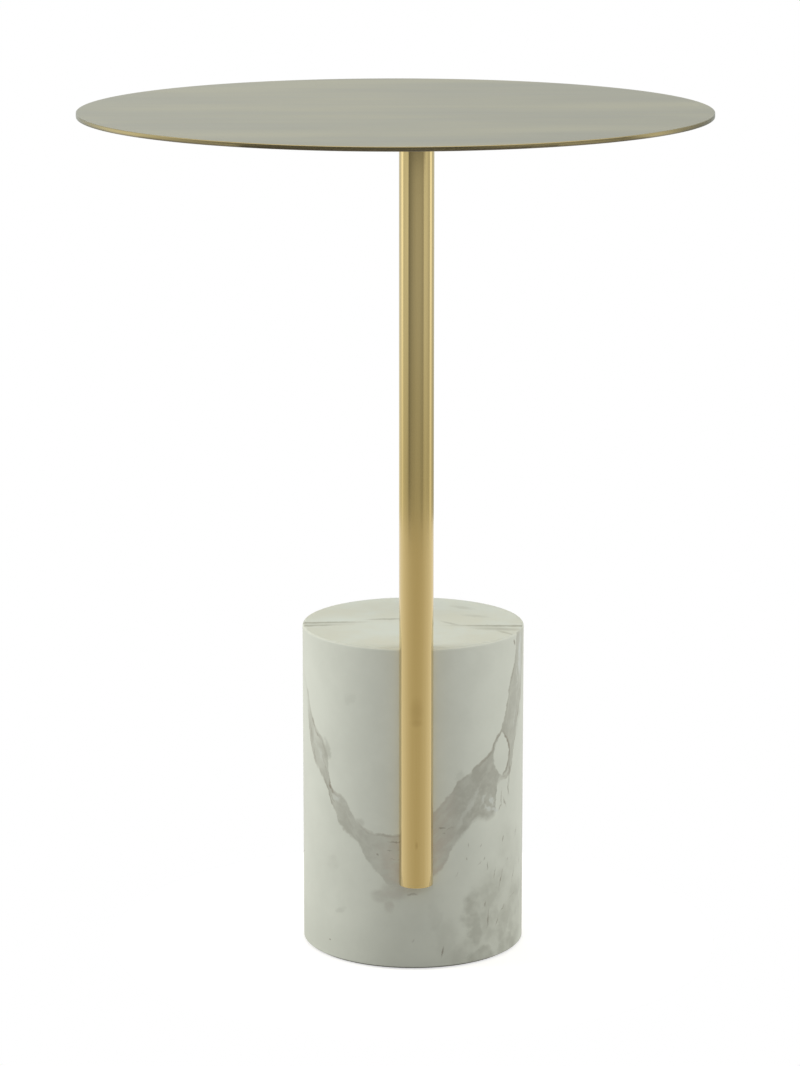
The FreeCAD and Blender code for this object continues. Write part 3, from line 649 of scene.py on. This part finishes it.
def makeTableTop(spec):
    low, high = (Vector(corner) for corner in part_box("top_disc"))
    shape = turnPlate(low, high, ((low.x + high.x) / 2, (low.y + high.y) / 2), spec)
    return finishPiece(meshObject(shape, "tableTop", topBrassMaterial), "top_disc")


makeTableTop(tableTop)
print("table top made")


# Pole: drawn tube, the edge of its foot just broken

pole = {"wall": 0.002, "footEdge": 0.00025, "segments": 3, "steps": 96}


def makePole(spec):
    low, high = (Vector(corner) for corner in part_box("pole_tube"))
    axis = ((low.x + high.x) / 2, (low.y + high.y) / 2)
    radius = (high.x - low.x) / 2
    inside = radius - spec["wall"]
    outline = [(inside, low.z), (radius, low.z), (radius, high.z), (inside, high.z)]
    shape = turnOutline(outline, axis, spec["steps"], closed=True)
    easeRing(shape, axis, radius, low.z, spec["footEdge"], spec["segments"])
    return finishPiece(meshObject(shape, "pole", poleBrassMaterial), "pole_tube")


makePole(pole)
print("pole made")


# Marble drum: turned block with a hollow from below, a half-round groove for the pole and two stud holes

drum = {
    "rimEdge": 0.0016,
    "rimSegments": 6,
    "footEdge": 0.0005,
    "footSegments": 1,
    "steps": 192,
    "hollowRadius": 0.025,
    "hollowRoof": 0.195,       # height above the floor
    "grooveGap": 0.00005,
    "grooveSteps": 96,
    "cutPast": 0.02,           # how far the groove's cutter passes the top face
    "studHoles": (0.087, 0.168),
    "studHoleRadius": 0.0045,
    "studHoleSteps": 32,
    "studHoleLength": 0.06,    # from the groove into the hollow, with some over at both ends
    "studHoleMiddle": -0.045,  # along Y
}


def cutAway(piece, shape, name):
    cutter = meshObject(shape, name, marbleMaterial)
    cut = piece.modifiers.new(name, "BOOLEAN")
    cut.operation = "DIFFERENCE"
    cut.solver = "EXACT"
    cut.object = cutter
    bpy.context.view_layer.update()
    cutMesh = bpy.data.meshes.new_from_object(piece.evaluated_get(bpy.context.evaluated_depsgraph_get()))
    piece.modifiers.clear()
    piece.data = cutMesh
    bpy.data.objects.remove(cutter)


def makeDrum(spec):
    low, high = (Vector(corner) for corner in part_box("marble_base"))
    poleLow, poleHigh = (Vector(corner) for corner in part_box("pole_tube"))
    radius = (high.x - low.x) / 2
    hollow = spec["hollowRadius"]
    outline = [(0, spec["hollowRoof"]), (hollow, spec["hollowRoof"]), (hollow, low.z),
               (radius, low.z), (radius, high.z), (0, high.z)]
    shape = turnOutline(outline, (0, 0), spec["steps"])
    easeRing(shape, (0, 0), radius, high.z, spec["rimEdge"], spec["rimSegments"])
    easeRing(shape, (0, 0), radius, low.z, spec["footEdge"], spec["footSegments"])
    piece = meshObject(shape, "marbleDrum", marbleMaterial)
    poleAxis = (0, (poleLow.y + poleHigh.y) / 2)
    groove = (poleHigh.x - poleLow.x) / 2 + spec["grooveGap"]
    past = high.z + spec["cutPast"]
    cutter = turnOutline(
        [(0, poleLow.z), (groove, poleLow.z), (groove, past), (0, past)], poleAxis, spec["grooveSteps"])
    cutAway(piece, cutter, "poleGroove")
    for height in spec["studHoles"]:
        hole = bmesh.new()
        bmesh.ops.create_cone(
            hole, cap_ends=True, segments=spec["studHoleSteps"], radius1=spec["studHoleRadius"],
            radius2=spec["studHoleRadius"], depth=spec["studHoleLength"])
        bmesh.ops.rotate(
            hole, verts=hole.verts, cent=(0, 0, 0), matrix=Matrix.Rotation(math.pi / 2, 3, "X"))
        bmesh.ops.translate(hole, verts=hole.verts, vec=(0, spec["studHoleMiddle"], height))
        cutAway(piece, hole, "studHole")
    return finishPiece(piece, "marble_base")


makeDrum(drum)
print("marble drum made")


# Felt pad: one round of felt glued under the stone, a little in from its edge

feltPad = {"edge": 0.0003, "segments": 3, "steps": 128}


def makeFeltPad(spec):
    low, high = (Vector(corner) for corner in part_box("felt_pad"))
    shape = turnPlate(low, high, (0, 0), spec)
    piece = finishPiece(meshObject(shape, "feltPad", feltMaterial), "felt_pad")
    return piece


makeFeltPad(feltPad)
print("felt pad made")


# Fixings and plates that stay as the CAD made them

cadFinishes = {
    "top_backing_plate": poleBrassMaterial,
    "pole_flange": poleBrassMaterial,
    "pole_end_cap": poleBrassMaterial,
    "flange_screws": zincMaterial,
    "pole_core": zincMaterial,
    "pole_studs": zincMaterial,
    "clamp_bar": zincMaterial,
    "stud_washers": zincMaterial,
    "stud_nuts": zincMaterial,
}
for nodeName, material in cadFinishes.items():
    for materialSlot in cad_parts[nodeName].material_slots:
        materialSlot.material = material
print("CAD nodes finished")


# Stage: a round pale floor, white where it is lit and greyer in the drum's own shadow

studioFloor = {
    "radius": 0.20,
    "steps": 128,
    "height": -0.0003,
    "colour": "#C9C8C4",
    "bounce": "#82817C",  # duller for the light that it throws up on the drum
    "lift": 0.60,         # added for the camera only
}


def raysThatShow(tree):  # all kinds of ray, and a mask of those that show a thing and don't light another
    rays = addNode(tree, "ShaderNodeLightPath").node.outputs
    shows = addNode(tree, "ShaderNodeMath", [rays["Is Camera Ray"], rays["Is Glossy Ray"]], operation="ADD")
    shows = addNode(tree, "ShaderNodeMath", [
        shows, rays["Is Transmission Ray"]], operation="ADD", use_clamp=True)
    return rays, shows


def makeFloor(spec):
    material, tree = newMaterial("paleStudioFloor")
    rays, shows = raysThatShow(tree)
    pale = addNode(tree, "ShaderNodeMix", {0: shows, 6: spec["bounce"], 7: spec["colour"]}, **colourMix)
    lift = addNode(tree, "ShaderNodeMath", [rays["Is Camera Ray"], spec["lift"]], operation="MULTIPLY")
    paint = addNode(tree, "ShaderNodeBsdfDiffuse", {"Color": pale})
    glow = addNode(tree, "ShaderNodeEmission", {"Color": (1, 1, 1, 1), "Strength": lift})
    both = addNode(tree, "ShaderNodeAddShader", [paint, glow])
    addNode(tree, "ShaderNodeOutputMaterial", {"Surface": both})
    shape = bmesh.new()
    bmesh.ops.create_circle(shape, cap_ends=True, segments=spec["steps"], radius=spec["radius"])
    bmesh.ops.translate(shape, verts=shape.verts, vec=(0, 0, spec["height"]))
    meshObject(shape, "studioFloor", material)


# Tent of pale cloth round the table, seen only in the metal: dim at the front where the camera looks in,
# grey panels at the sides and a bright strip each side towards the back

lightTent = {
    "axis": (0, -0.0725),      # the pole's
    "radius": 1.15,
    "steps": 96,
    "bottom": 0.052,
    "top": 0.60,
    "cloth": (1.0, 1.01, 0.92),
    "panels": [  # degrees round from the front, minus is left: brightness
        (-180, 0.6), (-122, 0.66), (-120, 1.08), (-101, 1.05), (-99, 0.58), (-88, 0.58), (-64, 0.66),
        (-57, 0.62), (-55, 0.18), (-43, 0.24), (-22, 0.34), (-2, 0.4), (23, 0.4), (40, 0.34), (44, 0.3),
        (46, 0.64), (61, 0.64), (76, 0.58), (86, 0.46), (94, 0.5), (97, 1.02), (115, 0.95), (117, 0.52),
        (180, 0.6)],
    "rimPanels": [  # the same higher up, where the top's rim reflects them
        (-180, 0.52), (-145, 0.66), (-118, 0.98), (-100, 0.9), (-88, 0.66), (-74, 0.42), (-58, 0.26),
        (-45, 0.15), (-30, 0.13), (20, 0.13), (28, 0.2), (38, 0.34), (52, 0.38), (71, 0.34), (84, 0.24),
        (93, 0.66), (101, 0.76), (114, 0.46), (132, 0.36), (180, 0.52)],
    "lowPanels": [  # the same near the floor, softer
        (-180, 0.85), (-140, 0.72), (-124, 0.58), (-112, 0.76), (-102, 0.74), (-97, 0.56), (-74, 0.47),
        (-57, 0.38), (-54, 0.19), (-46, 0.23), (-35, 0.3), (0, 0.37), (17, 0.36), (35, 0.29), (43, 0.31),
        (47, 0.44), (60, 0.47), (88, 0.42), (94, 0.52), (98, 0.76), (113, 0.72), (118, 0.46), (137, 0.4),
        (180, 0.52)],
    "fade": (0.10, 0.33),      # heights between which the low panels pass into the panels
    "warmth": (0.26, 0.04),    # and between which the cloth takes the floor's warmer tone
    "lowTint": (0.93, 0.89, 0.73, 1),
    "rimHeight": 0.421,        # the rim's panels begin
    "openingHeight": 0.398,    # the camera's opening begins, above the front panel
    "openingHalf": 56,         # degrees to each side
    "openingLight": 0.08,
    "blend": 0.005,            # half the height over which these two set in
    "onStone": (1.12, 1.04, 0.85, 1),  # plain warm light that the metal passes on to the stone beside it
}


def makeTent(spec):
    material, tree = newMaterial("paleTentCloth")
    place = addNode(tree, "ShaderNodeTexCoord", out="Object")
    axes = addNode(tree, "ShaderNodeSeparateXYZ", [place]).node.outputs
    depth = addNode(tree, "ShaderNodeMath", [spec["axis"][1], axes["Y"]], operation="SUBTRACT")
    turn = addNode(tree, "ShaderNodeMath", [axes["X"], depth], operation="ARCTAN2")
    turn = addNode(tree, "ShaderNodeMapRange", [turn, -math.pi, math.pi])
    rows = []
    for row in (spec["lowPanels"], spec["panels"], spec["rimPanels"]):
        stops = [((turned + 180) / 360, [light * c for c in spec["cloth"]] + [1]) for turned, light in row]
        rows.append(addNode(tree, "ShaderNodeValToRGB", [turn], stops=stops))
    lowPanels, panels, rimPanels = rows
    fade = addNode(tree, "ShaderNodeMapRange", [axes["Z"], *spec["fade"]])
    cloth = addNode(tree, "ShaderNodeMix", {0: fade, 6: lowPanels, 7: panels}, **colourMix)
    warmth = addNode(tree, "ShaderNodeMapRange", [axes["Z"], *spec["warmth"]])
    cloth = addNode(tree, "ShaderNodeMix", {
        0: warmth, 6: cloth, 7: spec["lowTint"]}, **colourMix, blend_type="MULTIPLY")
    over = []
    for height in (spec["openingHeight"], spec["rimHeight"]):
        over.append(addNode(tree, "ShaderNodeMapRange", [
            axes["Z"], height - spec["blend"], height + spec["blend"]]))
    half = spec["openingHalf"] / 360
    aside = addNode(tree, "ShaderNodeMath", [turn, 0.5, half], operation="COMPARE")
    opening = addNode(tree, "ShaderNodeMath", [aside, over[0]], operation="MULTIPLY")
    dark = [spec["openingLight"]] * 3 + [1]
    cloth = addNode(tree, "ShaderNodeMix", {0: opening, 6: cloth, 7: dark}, **colourMix)
    cloth = addNode(tree, "ShaderNodeMix", {0: over[1], 6: cloth, 7: rimPanels}, **colourMix)
    passedOn = addNode(tree, "ShaderNodeLightPath", out="Diffuse Depth")
    passedOn = addNode(tree, "ShaderNodeMath", [passedOn, 0.5], operation="GREATER_THAN")
    cloth = addNode(tree, "ShaderNodeMix", {0: passedOn, 6: cloth, 7: spec["onStone"]}, **colourMix)
    glow = addNode(tree, "ShaderNodeEmission", {"Color": cloth, "Strength": 1.0})
    addNode(tree, "ShaderNodeOutputMaterial", {"Surface": glow})
    shape = bmesh.new()
    ring = bmesh.ops.create_circle(
        shape, cap_ends=False, segments=spec["steps"], radius=spec["radius"])["verts"]
    bmesh.ops.translate(shape, verts=ring, vec=(*spec["axis"], spec["bottom"]))
    wall = bmesh.ops.extrude_edge_only(shape, edges=shape.edges)["geom"]
    bmesh.ops.translate(
        shape, verts=[v for v in wall if isinstance(v, bmesh.types.BMVert)],
        vec=(0, 0, spec["top"] - spec["bottom"]))
    tent = meshObject(shape, "lightTent", material)
    tent.visible_camera = False
    tent.visible_diffuse = False
    tent.visible_shadow = False


makeFloor(studioFloor)
makeTent(lightTent)
print("stage made")


# World and lamps: white for the camera, an even soft light on the table, a brighter lamp on the left

studioWorld = {
    "ambient": 0.58,             # light on the table from all round
    "ambientHigh": 0.36,         # from overhead
    "ambientLow": 0.18,          # from below
    "ambientFront": 0.31,        # more from the camera's side
    "overhead": (0.3, 0.9),      # upward parts of a direction between which these meet
    "underneath": (-0.3, 0.3),
    "front": "#B3AC95",          # what the pole's foot reflects, dim and warm
    "back": "#EDECE8",
    "near": 0.5,                 # the white floor close to the table
    "nearSlope": (-0.33, -0.42),
    "aboveLeft": "#DADCDA",      # what the top reflects, behind the table
    "aboveRight": "#D0D2CF",
    "aboveSides": (-0.1, 0.1),
    "aboveFront": 1.15,          # the light cloth over the camera
    "aboveBack": (0.0, 0.4),
    "horizon": (-0.05, 0.05),
}


def makeWorld(spec):
    world = bpy.data.worlds.new("whiteStudio")
    scene.world = world
    world.use_nodes = True
    tree = world.node_tree
    tree.nodes.clear()
    rays, shows = raysThatShow(tree)
    way = addNode(tree, "ShaderNodeTexCoord", out="Generated")
    axes = addNode(tree, "ShaderNodeSeparateXYZ", [way]).node.outputs

    # what the metal reflects
    behind = addNode(tree, "ShaderNodeMapRange", [axes["Y"], -1.0, 1.0])
    low = addNode(tree, "ShaderNodeMix", {0: behind, 6: spec["front"], 7: spec["back"]}, **colourMix)
    steep = addNode(tree, "ShaderNodeMapRange", [axes["Z"], *spec["nearSlope"]])
    low = addNode(tree, "ShaderNodeMix", {0: steep, 6: low, 7: [spec["near"]] * 3 + [1]}, **colourMix)
    right = addNode(tree, "ShaderNodeMapRange", [axes["X"], *spec["aboveSides"]])
    above = addNode(tree, "ShaderNodeMix", {
        0: right, 6: spec["aboveLeft"], 7: spec["aboveRight"]}, **colourMix)
    back = addNode(tree, "ShaderNodeMapRange", [axes["Y"], *spec["aboveBack"]])
    above = addNode(tree, "ShaderNodeMix", {
        0: back, 6: [spec["aboveFront"]] * 3 + [1], 7: above}, **colourMix)
    high = addNode(tree, "ShaderNodeMapRange", [axes["Z"], *spec["horizon"]])
    studio = addNode(tree, "ShaderNodeMix", {0: high, 6: low, 7: above}, **colourMix)
    passedOn = addNode(tree, "ShaderNodeMath", [rays["Diffuse Depth"], 0.5], operation="GREATER_THAN")
    studio = addNode(tree, "ShaderNodeMix", {0: passedOn, 6: studio, 7: lightTent["onStone"]}, **colourMix)
    shown = addNode(tree, "ShaderNodeMix", {
        0: rays["Is Glossy Ray"], 6: (1, 1, 1, 1), 7: studio}, **colourMix)
    white = addNode(tree, "ShaderNodeBackground", {"Color": shown, "Strength": 1.0})

    # what lights the table
    around = addNode(tree, "ShaderNodeMapRange", [
        axes["Z"], *spec["overhead"], spec["ambient"], spec["ambientHigh"]])
    strength = addNode(tree, "ShaderNodeMapRange", [
        axes["Z"], *spec["underneath"], spec["ambientLow"], around])
    facing = addNode(tree, "ShaderNodeMapRange", [axes["Y"], 0.0, -1.0])
    facing = addNode(tree, "ShaderNodeMath", [facing, facing], operation="MULTIPLY")
    strength = addNode(tree, "ShaderNodeMath", [
        facing, spec["ambientFront"], strength], operation="MULTIPLY_ADD")
    soft = addNode(tree, "ShaderNodeBackground", {"Color": (1, 1, 1, 1), "Strength": strength})
    both = addNode(tree, "ShaderNodeMixShader", [shows, soft, white])
    addNode(tree, "ShaderNodeOutputWorld", {"Surface": both})


softboxes = {
    "aim": (0, 0, 0.2),
    "distance": 1.7,
    "size": (1.1, 0.9),
    "rise": 23,  # degrees up
    "lamps": [("leftSoftbox", -95, 21.2), ("rightSoftbox", 93, 17.0)],  # degrees from the front, watts
}


def makeSoftboxes(spec):
    rise = math.radians(spec["rise"])
    for name, degrees, watts in spec["lamps"]:
        lamp = bpy.data.lights.new(name, "AREA")
        lamp.shape = "RECTANGLE"
        lamp.size, lamp.size_y = spec["size"]
        lamp.energy = watts
        box = bpy.data.objects.new(name, lamp)
        bpy.context.collection.objects.link(box)
        turn = math.radians(degrees)
        away = Vector((math.sin(turn) * math.cos(rise), -math.cos(turn) * math.cos(rise), math.sin(rise)))
        box.location = Vector(spec["aim"]) + spec["distance"] * away
        box.rotation_euler = (-away).to_track_quat("-Z", "Y").to_euler()
        box.visible_camera = False
        box.visible_glossy = False


makeWorld(studioWorld)
makeSoftboxes(softboxes)
print("lights made")
